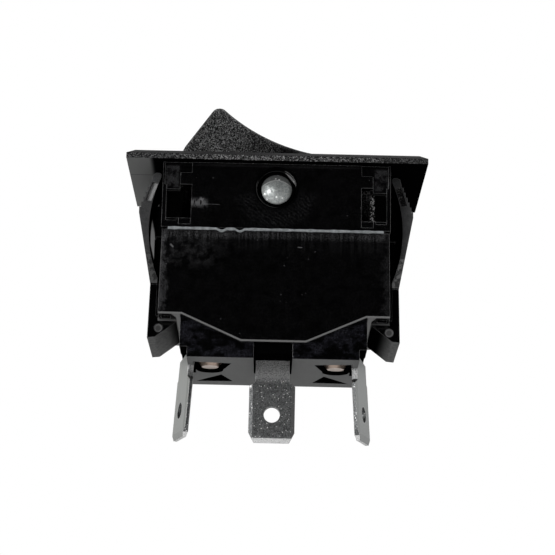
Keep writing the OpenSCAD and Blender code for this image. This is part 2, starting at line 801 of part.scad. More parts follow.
// Rivet with a domed silver head at the origin, head up, shank going down
module contact_rivet(shank, tail_d, tail_h) {
    rim = 0.35*contact_h;
    cap = contact_h - rim;
    cap_r = ((contact_d/2)^2 + cap^2)/(2*cap);
    cylinder(h = rim, d = contact_d);
    intersection() {
        translate([0, 0, contact_h - cap_r]) sphere(r = cap_r, $fn = 96);
        translate([0, 0, rim - eps]) cylinder(h = cap + 1, d = contact_d);
    }
    translate([0, 0, -shank - tail_h/2]) cylinder(h = shank + tail_h/2 + eps, d = rivet_d);
    translate([0, 0, -shank - tail_h]) cylinder(h = tail_h - eps, d1 = 0.72*tail_d, d2 = tail_d);
}

module fixed_contact() {
    translate([contact_x, -contact_offset, plate_z]) contact_rivet(floor_t + tab_t, tail_d, tail_h);
}

module right_fixed_contact() {
    color(copper) fixed_contact();
}

module left_fixed_contact() {
    color(copper) mirror([1, 0, 0]) fixed_contact();
}

// U-shaped bracket whose two ears carry the lever's trunnions
module lever_cradle() {
    ear_half = trunnion_d/2 + trunnion_play + ear_rim;
    top = lever_z + 0.5;
    color(brass) difference() {
        union() {
            block([-cradle_half, -ear_y - ear_t, plate_z], [cradle_half, ear_y + ear_t, plate_z + web_t]);
            both_sides() block([-ear_half, ear_y, plate_z], [ear_half, ear_y + ear_t, top]);
        }
        translate([0, 0, lever_z]) along_y(trunnion_d + 2*trunnion_play, far);
        block([-trunnion_d/2 - trunnion_play, -far/2, lever_z],
            [trunnion_d/2 + trunnion_play, far/2, top + 1]);
        translate([0, rivet_y, plate_z - 1]) cylinder(h = 3, d = rivet_d + 2*fit);
        translate([0, rivet_y, plate_z + web_t - 0.3])
            cylinder(h = 0.3 + eps, d1 = rivet_d + 2*fit, d2 = rivet_d + 0.8);
    }
}

// Countersunk rivet through the cradle, the common terminal and the base
module cradle_rivet() {
    head = plate_z + web_t;
    shank = web_t + tab_t + floor_t;
    color(brass) translate([0, rivet_y, 0]) {
        translate([0, 0, head - shank - tail_h/2]) cylinder(h = shank + tail_h/2 - 0.02, d = rivet_d);
        translate([0, 0, head - 0.25]) cylinder(h = 0.23, d1 = rivet_d, d2 = rivet_d + 0.5);
        translate([0, 0, head - shank - tail_h]) cylinder(h = tail_h - eps, d1 = 0.72*tail_d, d2 = tail_d);
    }
}

// Level profile of the lever: a round saddle that runs out into two rising arms
module lever_outline() {
    tip_x = lever_half*cos(lever_angle);
    tip_top = arm_rise + (tip_x - saddle_half)*tan(lever_angle);
    drop = lever_t/cos(lever_angle);
    difference() {
        union() {
            intersection() {
                translate([0, saddle_r - saddle_drop]) circle(r = saddle_r + lever_t, $fn = 180);
                translate([-lever_half, -saddle_r]) square([2*lever_half, saddle_r + arm_rise]);
            }
            both_ends() polygon([[saddle_half - eps, arm_rise], [tip_x, tip_top], [tip_x, tip_top - drop],
                [saddle_half - eps, arm_rise - drop]]);
        }
        translate([0, saddle_r - saddle_drop]) circle(r = saddle_r, $fn = 180);
    }
}

module at_lever() {
    translate([0, 0, lever_z]) rotate([0, -lever_angle, 0]) children();
}

// Carries a moving contact to the underside of the lever's right arm
module at_arm() {
    translate([contact_x, -contact_offset, arm_top_at_contact - lever_t/cos(lever_angle)])
        rotate([0, -lever_angle, 0]) mirror([0, 0, 1]) children();
}

module contact_lever() {
    color(brass) at_lever() difference() {
        union() {
            across(lever_w) lever_outline();
            both_sides() translate([0, lever_w/2 - 0.2, 0]) rotate([-90, 0, 0])
                cylinder(h = 0.2 + ear_gap + ear_t + 0.25, d = trunnion_d);
            both_sides() block([-trunnion_d/2, lever_w/2 - 0.5, -saddle_drop - lever_t],
                [trunnion_d/2, lever_w/2, 0]);
        }
        both_ends() at_arm() cylinder(h = 4*lever_t, d = rivet_d + 2*fit, center = true);
    }
}

module moving_contact() {
    at_arm() contact_rivet(lever_t, 2.4, 0.35);
}

module right_moving_contact() {
    color(silver) at_lever() moving_contact();
}

module left_moving_contact() {
    color(silver) at_lever() mirror([1, 0, 0]) moving_contact();
}

bezel_frame();
rocker();
pivot_pin();
plunger();
plunger_spring();
joint_gasket();
lower_case();
terminal_base();
common_terminal();
left_terminal();
right_terminal();
left_fixed_contact();
right_fixed_contact();
lever_cradle();
cradle_rivet();
contact_lever();
left_moving_contact();
right_moving_contact();
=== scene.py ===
"""Looks of a snap-in panel rocker switch: finishes, a squeezed seal and a plain studio."""

import json
import math

import bpy
import numpy as np
from mathutils import Matrix, Vector


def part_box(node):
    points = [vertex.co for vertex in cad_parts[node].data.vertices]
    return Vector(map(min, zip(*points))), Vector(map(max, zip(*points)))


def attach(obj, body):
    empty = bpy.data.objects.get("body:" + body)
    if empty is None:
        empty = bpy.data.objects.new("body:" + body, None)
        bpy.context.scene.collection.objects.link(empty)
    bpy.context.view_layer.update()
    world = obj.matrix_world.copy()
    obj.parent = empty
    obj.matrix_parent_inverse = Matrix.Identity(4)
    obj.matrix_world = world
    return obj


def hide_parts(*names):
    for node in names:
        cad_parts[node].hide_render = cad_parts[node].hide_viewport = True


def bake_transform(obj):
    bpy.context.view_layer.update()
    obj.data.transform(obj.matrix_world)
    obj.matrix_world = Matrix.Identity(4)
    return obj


bl_info = {
    "name": "Panel rocker switch looks",
    "version": (1, 0, 0),
    "blender": (4, 5, 0),
    "location": "3D View > Sidebar > Rocker Switch",
    "description": "Finishes, seal and studio for a snap-in panel rocker switch",
    "category": "Object",
}

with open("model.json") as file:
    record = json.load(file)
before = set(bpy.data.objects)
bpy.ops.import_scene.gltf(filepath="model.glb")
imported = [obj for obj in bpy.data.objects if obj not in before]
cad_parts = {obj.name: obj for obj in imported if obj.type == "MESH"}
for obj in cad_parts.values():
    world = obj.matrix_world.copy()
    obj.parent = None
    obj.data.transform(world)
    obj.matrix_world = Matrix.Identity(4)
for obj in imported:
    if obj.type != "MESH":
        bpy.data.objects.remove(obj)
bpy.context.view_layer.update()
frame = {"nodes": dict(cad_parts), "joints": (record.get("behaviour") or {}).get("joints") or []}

MM = 0.001


def box_mm(node):
    """A part's lowest and highest corners at rest, in millimetres."""
    return [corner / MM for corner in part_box(node)]


HINGE = next(joint for joint in frame["joints"] if joint["name"] == "rocker_hinge")
SEAL_LOW, SEAL_HIGH = box_mm("joint_gasket")
CASE_LOW, CASE_HIGH = box_mm("lower_case")
BASE_LOW, BASE_HIGH = box_mm("terminal_base")
TAB_LOW, TAB_HIGH = box_mm("common_terminal")

# Sizes that the finishes and pieces are fitted to, in millimetres and degrees
BEZEL_TOP = box_mm("bezel_frame")[1].z
RIM_HEIGHT = 0.75
BODY_END = SEAL_HIGH.x + 0.1
BODY_SIDE = CASE_HIGH.y
PIVOT = HINGE["pos_m"][2] / MM
THROW = HINGE["range_deg"][1] / 2
BORE = 2.7
CASE_TOP = SEAL_LOW.z
LEDGE = CASE_LOW.z + 3.55
BASE = BASE_LOW.z
BASE_SIDE = BASE_HIGH.y
TAB_SIDE = TAB_HIGH.x
TAB_TIP = TAB_LOW.z

# The wings: the height of the knee and of the column's foot, half the width of the wing and of
# its pocket, and how far out the painted shade at the inner end of the foot's underside reaches
KNEE = -12.0
COLUMN_FOOT = -16.2
WING_HALF = 6.3
POCKET_HALF = 5.9
FOOT_INNER = 14.5


class Shade:
    """A socket of a finish, so that sums and products of sockets read as plain maths."""

    def __init__(self, finish, socket):
        self.finish = finish
        self.socket = socket

    def _math(self, operation, first, second):
        return self.finish.node("ShaderNodeMath", {"operation": operation}, {0: first, 1: second})

    def __add__(self, other):
        return self._math("ADD", self, other)

    def __radd__(self, other):
        return self._math("ADD", other, self)

    def __sub__(self, other):
        return self._math("SUBTRACT", self, other)

    def __rsub__(self, other):
        return self._math("SUBTRACT", other, self)

    def __mul__(self, other):
        return self._math("MULTIPLY", self, other)

    def __rmul__(self, other):
        return self._math("MULTIPLY", other, self)

    def __pow__(self, other):
        return self._math("POWER", self, other)

    def __abs__(self):
        return self.finish.node("ShaderNodeMath", {"operation": "ABSOLUTE"}, {0: self})

    def above(self, edge, width=0.05):
        """0 below the edge and 1 above it, smoothly over the width."""
        return self.finish.node(
            "ShaderNodeMapRange",
            {"interpolation_type": "SMOOTHSTEP", "clamp": True},
            {"Value": self, "From Min": edge - width / 2, "From Max": edge + width / 2},
        )

    def below(self, edge, width=0.05):
        """1 below the edge and 0 above it, smoothly over the width."""
        return 1.0 - self.above(edge, width)

    def between(self, low, high, width=0.05):
        """1 from low to high and 0 outside, smoothly over the width."""
        return self.above(low, width) * self.below(high, width)

    def capped(self):
        """The same share, but never more than 1."""
        return self._math("MINIMUM", self, 1.0)


class Finish:
    """One material, with its node tree and the place of a point in millimetres."""

    def __init__(self, name, **constants):
        self.material = bpy.data.materials.new(name)
        self.material.use_nodes = True
        self.tree = self.material.node_tree
        self.surface = next(n for n in self.tree.nodes if n.type == "BSDF_PRINCIPLED")
        for key, value in constants.items():
            self.surface.inputs[key.replace("_", " ")].default_value = value
        metres = self.node("ShaderNodeTexCoord", output="Object")
        self.place = self.node("ShaderNodeVectorMath", {"operation": "SCALE"}, {0: metres, "Scale": 1 / MM})
        self.x = self.node("ShaderNodeSeparateXYZ", {}, {0: self.place}, "X")
        self.y = self.node("ShaderNodeSeparateXYZ", {}, {0: self.place}, "Y")
        self.z = self.node("ShaderNodeSeparateXYZ", {}, {0: self.place}, "Z")
        self.reach = abs(self.x)
        self.flat = self.node("ShaderNodeNewGeometry", output="True Normal")
        self.facing_x = self.node("ShaderNodeSeparateXYZ", {}, {0: self.flat}, "X")
        self.facing_y = self.node("ShaderNodeSeparateXYZ", {}, {0: self.flat}, "Y")
        self.facing_z = self.node("ShaderNodeSeparateXYZ", {}, {0: self.flat}, "Z")
        # 1 on faces turned to the front, and 1 on the left half
        self.near = self.facing_y.below(-0.7, 0.1)
        self.left = self.x.below(0.0)

    def node(self, kind, settings=None, inputs=None, output=0):
        """Adds a node, sets its settings, then its sockets, and gives back one of its outputs."""
        made = self.tree.nodes.new(kind)
        for key, value in (settings or {}).items():
            setattr(made, key, value)
        for key, value in (inputs or {}).items():
            if isinstance(value, Shade):
                self.tree.links.new(value.socket, made.inputs[key])
            else:
                made.inputs[key].default_value = value
        return Shade(self, made.outputs[output])

    def stretched(self, x, y, z):
        """The place with each direction scaled, for marks that run one way."""
        return self.node("ShaderNodeVectorMath", {"operation": "MULTIPLY"}, {0: self.place, 1: (x, y, z)})

    def noise(self, scale, detail=3.0, rough=0.55, place=None):
        """Cloudy noise from 0 to 1, with so many lumps to the millimetre."""
        return self.node(
            "ShaderNodeTexNoise",
            {},
            {"Vector": place or self.place, "Scale": scale, "Detail": detail, "Roughness": rough},
        )

    def cells(self, scale):
        """Distance from a point to the middle of its irregular cell."""
        return self.node("ShaderNodeTexVoronoi", {}, {"Vector": self.place, "Scale": scale}, "Distance")

    def lines(self, x, y, z):
        """Noise drawn out into marks along the direction whose share is smallest."""
        return self.noise(1.0, 2.0, 0.45, self.stretched(x, y, z))

    def edges(self, radius_mm):
        """The normal rounded over along every edge, and how far it turns there from the face."""
        rounded = self.node("ShaderNodeBevel", {"samples": 8}, {"Radius": radius_mm * MM})
        along = self.node(
            "ShaderNodeVectorMath", {"operation": "DOT_PRODUCT"}, {0: rounded, 1: self.flat}, "Value"
        )
        return rounded, 1.0 - along

    def streak(self, start, end, width):
        """1 along a short straight mark seen from the front, and 0 away from it."""
        run = (end[0] - start[0], end[1] - start[1])
        length = math.hypot(*run)
        right, up = run[0] / length, run[1] / length
        along = (self.x - start[0]) * right + (self.z - start[1]) * up
        off = abs((self.x - start[0]) * up - (self.z - start[1]) * right)
        return along.between(0.0, length, width) * off.below(width / 2, width)

    def ring_distance(self, x, z):
        """Distance in the X-Z plane from the two mirrored points at plus and minus x."""
        across = self.reach - x
        rise = self.z - z
        return (across * across + rise * rise) ** 0.5

    def mix(self, share, first, second):
        """A colour that goes from the first to the second as the share goes from 0 to 1."""
        return self.node(
            "ShaderNodeMix", {"data_type": "RGBA"}, {0: share, 6: opaque(first), 7: opaque(second)}, 2
        )

    def bump(self, height, depth_mm, below=None):
        """The normal tilted by a height field, on top of another normal if one is given."""
        inputs = {"Height": height, "Distance": depth_mm * MM, "Strength": 1.0}
        if below is not None:
            inputs["Normal"] = below
        return self.node("ShaderNodeBump", {}, inputs)

    def paint_matte_shade(self, share, colour):
        """Paints shade: fades the finish into a colour with no gloss where the share is 1, as deep in a
        recess.
        """
        flat = self.node(
            "ShaderNodeBsdfPrincipled",
            {},
            {"Base Color": opaque(colour), "Roughness": 1.0, "Specular IOR Level": 0.0},
        )
        finished = Shade(self, self.surface.outputs[0])
        both = self.node("ShaderNodeMixShader", {}, {0: share, 1: finished, 2: flat})
        ending = next(n for n in self.tree.nodes if n.type == "OUTPUT_MATERIAL")
        self.tree.links.new(both.socket, ending.inputs["Surface"])

    def apply(self, **sockets):
        """Links each result to the shader's input of the same name."""
        for key, value in sockets.items():
            self.tree.links.new(value.socket, self.surface.inputs[key.replace("_", " ")])
        return self.material


def opaque(colour):
    """A colour with full alpha, or a result as it is."""
    return colour if isinstance(colour, Shade) else (*colour[:3], 1.0)


def dust(finish, scale, share):
    """Small specks where a cell's centre is near and a slow noise allows them."""
    speck = finish.cells(scale).below(0.09, 0.07)
    return speck * finish.noise(scale * 0.35, 1.0).above(1.0 - share, 0.1)


def grey(value):
    return (value, value, value)


# ---------- Finishes ----------


def speckle(made):
    """Grain of the spark-eroded faces: lumps about a quarter of a millimetre wide, with sharp tops."""
    lumps = made.noise(4.0, 3.0, 0.85)
    tops = made.noise(8.5, 2.0, 0.6)
    return (lumps * 0.72 + tops * 0.28).above(0.52, 0.05)


def bright_tips(made):
    """The sharpest tops of the grain, which catch the light one by one."""
    return made.noise(6.5, 2.0, 0.7).above(0.58, 0.06)


def wall_marks_and_sheen(made):
    """How strongly handling marks show on the near walls of the frame and the case, with a painted reflection
    in a band just under the flange.
    """
    near = made.near * made.y.below(0.3 - BODY_SIDE, 0.1)
    drag = made.lines(3.6, 0.4, 0.14).above(0.52, 0.3)
    slow = made.noise(0.35, 2.0).above(0.42, 0.3)
    cloud = made.noise(0.9, 5.0, 0.65)
    fine = made.noise(5.5, 4.0, 0.7)
    under_seal = made.z.between(CASE_TOP - 1.0, CASE_TOP, 0.9)
    under_seal = under_seal * (0.3 + 0.7 * drag) * (0.5 + 0.5 * slow)
    drawn = made.z.between(CASE_TOP - 2.8, CASE_TOP - 0.4, 2.0) * drag * slow * 0.3
    shoulder = made.x.below(-8.0, 5.0) * made.z.between(-14.5, CASE_TOP - 0.3, 1.6)
    shoulder = shoulder * cloud.above(0.5, 0.22)
    margin = (made.reach + cloud * 4.0).above(16.9, 1.4) * made.z.between(LEDGE, -10.5, 1.5)
    margin = margin * fine.above(0.42, 0.3) * (0.25 + 0.75 * made.left)
    # Painted reflection: a pale band along the top of the near wall, just under the flange
    flange_reflection = made.z.between(-0.55, -0.12, 0.2) * made.reach.below(11.0, 2.0) * (0.1 + cloud)
    bore = made.ring_distance(0.0, PIVOT)
    ridges = (made.x * 0.8 + made.z) * 10.5 + cloud * 22.0
    wave = made.node("ShaderNodeMath", {"operation": "SINE"}, {0: ridges})
    thumb = bore.between(3.3, 5.6, 1.6) * made.z.below(PIVOT - 0.8, 1.2)
    thumb = thumb * wave.above(0.2, 1.6) * fine.above(0.45, 0.3)
    ragged = made.lines(5.0, 1.0, 1.6).above(0.42, 0.2)
    flash = (
        made.streak((-11.9, -5.75), (-9.5, -5.8), 0.9)
        + made.streak((-10.4, -5.2), (-9.9, -5.3), 0.4)
        + made.streak((-9.8, -5.95), (-7.6, -5.98), 0.1) * 0.5
    ) * ragged
    bracket = made.reach.between(13.3, 15.1, 0.3) * made.z.between(-3.6, -0.5, 0.4)
    bracket = bracket * cloud.above(0.5, 0.25) * fine
    nick = made.streak((-14.15, -11.7), (-13.75, -12.1), 0.2)
    nick = nick + made.streak((3.0, -11.75), (3.6, -11.8), 0.1)
    specks = dust(made, 1.1, 0.38)
    haze = fine.above(0.56, 0.2) * cloud.above(0.45, 0.3)
    stains_and_sheen = under_seal * fine.above(0.48, 0.2) * 0.32 + drawn * fine * 0.2 + flange_reflection * fine * 0.1
    rubs = shoulder * 0.07 + margin * 0.3 + thumb * 0.06 + bracket * 0.3 + haze * 0.05
    return (stains_and_sheen + rubs + flash * 0.6 + nick * 0.7 + specks * 0.3) * near


class Regions:
    """Shares that are 1 on one region of the frame and case mouldings and 0 elsewhere."""

    def __init__(self, made):
        self.down = made.facing_z.below(-0.3, 0.1)
        self.flange = made.z.above(-0.02, 0.03)
        self.under = self.flange * self.down
        self.grained = self.flange * (1.0 - self.down)
        self.rim = self.grained * made.z.below(RIM_HEIGHT, 0.08)
        self.crown_shade = self.grained * made.z.above(RIM_HEIGHT - 0.03, 0.08)
        self.crown_shade = self.crown_shade * made.facing_y.below(-0.2, 0.1)
        self.lit_end = self.under * made.x.below(-17.1, 0.9)

        self.rib = made.reach.below(BODY_END + 1.2, 0.04) * abs(made.y).below(4.6, 0.1)
        self.inward = (made.facing_x * made.x).below(-3.0, 1.0)
        self.wing = made.reach.above(BODY_END + 0.1, 0.05) * (1.0 - self.flange)
        self.wing = self.wing * (1.0 - self.inward) * (1.0 - self.rib)
        self.blade = self.wing * made.z.above(KNEE, 0.03)
        self.column = self.wing * made.z.between(COLUMN_FOOT, KNEE, 0.03)
        self.foot = self.down * made.z.below(LEDGE - 0.15, 0.1) * abs(made.y).below(WING_HALF, 0.05)
        self.pocket = made.near * abs(made.y).below(POCKET_HALF, 0.05)
        self.pocket = self.pocket * made.z.between(-4.8, -1.5, 0.1) * made.reach.between(16.2, 18.2, 0.05)

        self.walls = (1.0 - self.flange) * (1.0 - self.blade) * (1.0 - self.column) * (1.0 - self.foot)
        self.inside = made.reach.below(15.0, 0.05) * abs(made.y).below(BODY_SIDE - 0.28, 0.05)
        self.inside = self.inside * made.z.between(LEDGE + 1.3, BEZEL_TOP - 0.05, 0.05)
        self.mouth = made.y.below(-9.0, 0.1) * made.ring_distance(0.0, PIVOT).below(BORE + 0.32, 0.05)

        # How far out a point of a foot lies, with the left foot's painted shade at its inner end shorter than
        # the right's
        self.outward = made.reach + made.left * 1.4 - 0.7


def flange_tones(made, region, grain, tips, fine, settings):
    """The flange: grain in random tones and painted lighter towards the left, painted highlights on the grain
    tips along its rim, painted shade on the near bevel of its crown, and a painted pool of light on the
    underside at the left.
    """
    # Painted light: the grain's tone goes lighter towards the left, mixed with random patches
    lightened = (made.noise(0.5, 3.0) * 0.8 + made.x.below(0.0, 30.0) * 0.5).above(0.6, 0.5)
    tops = made.mix(lightened, settings.grain_mid, settings.grain_colour)
    colour = made.mix(region.grained, settings.gloss_colour, made.mix(grain, settings.grain_low, tops))
    colour = made.mix(region.rim * tips * (1.0 - 0.7 * made.reach.above(12.0, 12.0)), colour, grey(0.3))
    # Painted shade: the near bevel of the crown is darkened, and deep_shade takes away its gloss
    crown_shade = made.mix(grain, settings.grain_low, settings.satin_shade)
    colour = made.mix(region.crown_shade * 0.8, colour, crown_shade)
    colour = made.mix(region.under, colour, settings.gloss_colour)
    # Painted light: a pool of light on the underside's left end, while the rest of the underside stays black
    # and loses its gloss as painted shade
    lit = made.mix(fine, settings.under_shade, settings.under_colour)
    colour = made.mix(region.lit_end, colour, lit)
    # A thin dark line across the left underside, parallel to the front
    thin_dark_line = abs(made.y + 3.75).below(0.09, 0.05) * made.reach.above(17.2, 0.1)
    return made.mix(region.lit_end * thin_dark_line, colour, settings.gloss_colour)


def wing_tones(made, region, colour, fine, cloud, settings):
    """The wings, laid over a colour: satin blades, mottled columns with the right one painted lighter with
    highlights, feet with scrape lines and painted shade towards the body, a painted sheen in the left pocket,
    and a painted highlight along the ledge.
    """
    near, left = made.near, made.left
    flecked = (fine * 0.6 + cloud * 0.4).above(0.48, 0.3)
    satin = made.mix(flecked, settings.satin_shade, settings.satin_colour)
    colour = made.mix(region.blade, colour, satin)
    colour = made.mix(region.column, colour, satin)
    blotch = made.noise(1.7, 3.0, 0.7).above(0.5, 0.14)
    mottled = made.mix(blotch, grey(0.006), grey(0.06))
    # Painted light: the right column's mottle is lighter, with painted highlights, and the left's is darker
    bright = made.mix(blotch, grey(0.05), grey(0.2))
    colour = made.mix(region.column * near, colour, made.mix(left, bright, mottled))
    # Scrape lines on the feet, painted darker towards the body as shade
    scrapes_and_shade = 0.2 + 0.4 * made.lines(2.4, 1.6, 0.3).above(0.5, 0.3)
    scrapes_and_shade = scrapes_and_shade * region.outward.above(FOOT_INNER, 1.8)
    colour = made.mix(region.foot, colour, made.mix(scrapes_and_shade, settings.gloss_colour, settings.under_colour))
    specks = made.mix(made.noise(4.5, 3.0, 0.8).above(0.6, 0.06), grey(0.001), grey(0.25))
    # Painted sheen: the left pocket's floor is pale
    pale = made.mix(fine, grey(0.2), grey(0.38))
    colour = made.mix(region.pocket, colour, made.mix(left, specks, pale))
    groove = region.wing * near * abs(made.z - KNEE).below(0.07, 0.04)
    colour = made.mix(groove, colour, grey(0.001))
    # Painted highlight along the ledge at the wing's front, stronger on the left
    ledge = near * made.y.between(-WING_HALF, -WING_HALF + 0.3, 0.05) * made.reach.below(15.7, 0.05)
    ledge = ledge * made.z.between(LEDGE - 0.2, LEDGE + 0.25, 0.1)
    colour = made.mix(ledge * (0.5 + 0.4 * left), colour, grey(0.11))
    ejector = made.ring_distance(15.6, LEDGE - 1.2)
    ring = made.mix(ejector.above(0.38, 0.1), grey(0.05), grey(0.12))
    return made.mix(near * ejector.below(0.5, 0.05), colour, ring)


def bore_glints(made, cloud):
    """Two glints on the pin's counterbore: a thin line at its lower left, a crescent opposite."""
    bore = made.ring_distance(0.0, PIVOT)
    lower_left = (made.x * 0.8 + made.z * 0.6).below(-1.6 + PIVOT * 0.6, 1.0)
    upper_right = (made.x * 0.77 + made.z * 0.64).above(2.42 + PIVOT * 0.64, 0.1)
    line = bore.between(BORE, BORE + 0.1, 0.06) * lower_left * 0.4
    crescent = bore.below(BORE + 0.04, 0.05) * upper_right * (0.5 + 0.5 * cloud)
    return line, crescent


def edge_highlights(made, region, turn):
    """Painted highlights where the rounded normal turns away from the face: patchy, but even along the
    bottom.
    """
    highlit = turn.above(0.07, 0.1) * (1.0 - region.grained) * (1.0 - region.pocket * made.left)
    highlit = highlit * (1.0 - region.mouth) * (1.0 - region.inside)
    highlit = highlit * (1.0 - region.rib * made.reach.above(BODY_END + 0.05, 0.04))
    low_edge = made.z.below(LEDGE + 4.0, 0.1)
    patchy = 0.35 + 0.75 * made.noise(0.8, 2.0).above(0.5, 0.3)
    corner = made.reach.above(BODY_END - 0.3, 0.1)
    return highlit * (patchy * (1.0 - low_edge) + low_edge * 1.2) * (0.8 + 0.5 * corner)


def deep_shade(made, region, grain, tips, line, crescent):
    """Where no gloss shows: inside the case, behind the wings, under the flange, in pits and bore."""
    behind = region.inward * made.reach.above(BODY_END + 0.6, 0.1)
    hidden = region.inside * (1.0 - made.near) + (1.0 - region.inside) * behind
    glint = region.inward * made.left * made.z.between(-9.6, -6.2, 0.8) * made.y.above(-2.0, 1.0)
    hidden = hidden * (1.0 - region.foot) * (1.0 - 0.2 * glint)
    hidden = hidden + region.under * (1.0 - region.lit_end)
    hidden = hidden + region.foot * region.outward.below(FOOT_INNER, 1.8)
    hidden = hidden + region.crown_shade * 0.6 + region.rim * (1.0 - grain) * (1.0 - tips) * 0.7
    hidden = hidden + region.mouth * (1.0 - line) * (1.0 - crescent)
    return hidden.capped()


def moulded_black(name, settings):
    """Black housing plastic: grained flange, satin wings, and polished walls with handling marks, painted
    highlights along edges and painted shade in recesses.
    """
    made = Finish(name, Specular_IOR_Level=0.35)
    rounded, turn = made.edges(0.14)
    region = Regions(made)
    grain = speckle(made)
    tips = bright_tips(made)
    fine = made.noise(7.0, 4.0, 0.65)
    cloud = made.noise(1.1, 4.0, 0.6)
    line, crescent = bore_glints(made, cloud)
    marks = wall_marks_and_sheen(made) * region.walls
    highlit = edge_highlights(made, region, turn)

    colour = flange_tones(made, region, grain, tips, fine, settings)
    colour = wing_tones(made, region, colour, fine, cloud, settings)
    # The marks' colour also paints the reflection band under the flange
    colour = made.mix(marks, colour, settings.mark_colour)
    # Painted shade: black inside the case
    colour = made.mix(region.inside, colour, grey(0.0006))
    # Painted highlight: a lighter band on the case's broken low edge
    chamfer = (made.facing_y * made.facing_z).between(0.3, 0.7, 0.1) * made.z.below(LEDGE + 1.3, 0.1)
    colour = made.mix(chamfer, colour, settings.chamfer_highlight)
    # Painted highlights along the edges
    colour = made.mix(highlit * 0.75, colour, settings.edge_highlight_colour)
    colour = made.mix(line + crescent, colour, grey(0.2))
    # Painted light: a lit band of grain on the web in the right window
    strip = made.near * made.x.between(12.75, 13.35, 0.2) * abs(made.y + 8.85).below(0.1, 0.05)
    strip = strip * made.z.between(-8.0, -4.2, 0.9) * made.noise(5.0, 3.0, 0.8).above(0.55, 0.08)
    colour = made.mix(strip, colour, grey(0.22))

    matte = 1.0 - region.walls
    gloss = 0.07 + 0.06 * cloud + 0.5 * marks + 0.3 * highlit
    rough = gloss * region.walls + matte * (0.45 + 0.2 * fine)
    height = grain * region.grained + (fine * 0.25) * matte + marks * 0.15
    normal = made.bump(height, settings.grain_depth, below=rounded)
    made.paint_matte_shade(deep_shade(made, region, grain, tips, line, crescent), settings.gloss_colour)
    return made.apply(Base_Color=colour, Roughness=rough, Normal=normal)


def grained_rocker(name, settings):
    """Rocker plastic with an even spark-eroded grain, plain and in painted matte shade where it never leaves
    the frame, with painted shade in its pits, over the near wall's middle and near the frame at the right
    end.
    """
    made = Finish(name, Specular_IOR_Level=0.35)
    grain = speckle(made)
    fine = made.noise(16.0, 2.0, 0.6)
    rise, run = math.sin(math.radians(THROW)), math.cos(math.radians(THROW))
    over_pivot = made.z - PIVOT
    along = made.x * run - over_pivot * rise
    height = made.x * rise + over_pivot * run
    highest = height * run + abs(along) * rise + PIVOT
    # Painted shade: matte and dark where the rocker never leaves the frame
    plain = highest.below(-0.7, 0.4)
    shaded = made.near * made.x.above(0.0, 2.0) * highest.below(3.0, 1.6) * 0.85
    colour = made.mix(grain, settings.rocker_low, settings.rocker_colour)
    tips = bright_tips(made)
    colour = made.mix(tips, colour, grey(0.2))
    # Painted shade over the middle of the near wall
    turned = made.near * abs(along).below(6.5, 5.0) * 0.5
    rough = 0.45 + 0.25 * fine
    normal = made.bump((grain + fine * 0.2) * (1.0 - plain), settings.grain_depth)
    # Painted shade in the grain's pits
    pits = (1.0 - grain) * (1.0 - tips) * 0.7
    glossy = (1.0 - plain) * (1.0 - shaded) * (1.0 - turned) * (1.0 - pits)
    made.paint_matte_shade(1.0 - glossy, settings.gloss_colour)
    return made.apply(Base_Color=colour, Roughness=rough, Normal=normal)


def plain_black(name, settings):
    """Base and plunger plastic: polished sides with flow marks and painted highlights along the edges, satin
    below, and black painted shade inside.
    """
    made = Finish(name, Specular_IOR_Level=0.4)
    rounded, turn = made.edges(0.12)
    flow = made.noise(0.7, 5.0, 0.6, made.stretched(1.0, 0.4, 1.6))
    fine = made.noise(6.5, 4.0, 0.7)
    down = made.facing_z.below(-0.7, 0.1)
    under = down * made.z.below(BASE + 0.1, 0.05)
    sunk = (1.0 - under) * abs(made.y).below(BASE_SIDE - 0.05, 0.05) * made.reach.below(12.45, 0.05)
    clouds = flow.above(0.52, 0.2) * fine.above(0.5, 0.3)
    cloudy = made.mix(clouds, settings.gloss_colour, settings.base_colour)
    colour = made.mix(dust(made, 2.0, 0.4) * 0.35, cloudy, settings.mark_colour)
    colour = made.mix(under, colour, made.mix(fine, settings.satin_colour, settings.under_colour))
    # Painted shade: black and matte inside the base
    made.paint_matte_shade(sunk, settings.gloss_colour)
    # Painted highlights along the edges, which also make them rougher
    highlit = turn.above(0.07, 0.1) * (0.4 + 0.6 * flow) * (1.0 - sunk)
    colour = made.mix(highlit * 0.7, colour, settings.edge_highlight_colour)
    rough = 0.1 + 0.1 * flow + 0.2 * highlit + 0.4 * under
    normal = made.bump(flow * 0.5 + fine * 0.08, 0.03, below=rounded)
    return made.apply(Base_Color=colour, Roughness=rough, Normal=normal)


def pale_seal(name, settings):
    """Soft pale seal with small lumps and grime, painted black as shade where it lies inside the joint."""
    made = Finish(name, Specular_IOR_Level=0.35)
    lumps = made.noise(1.8, 4.0, 0.6)
    fine = made.noise(9.0, 3.0, 0.6)
    clean = (lumps * 0.6 + fine * 0.4).above(0.5, 0.25)
    colour = made.mix(clean, settings.seal_shade, settings.seal_colour)
    # Painted shade: black where the seal lies inside the wall
    colour = made.mix(made.y.between(-BODY_SIDE + 0.15, 0.0, 0.1), colour, settings.gloss_colour)
    normal = made.bump(lumps * 0.7 + fine * 0.3, 0.04)
    return made.apply(Base_Color=colour, Roughness=0.5 + 0.3 * fine, Normal=normal)


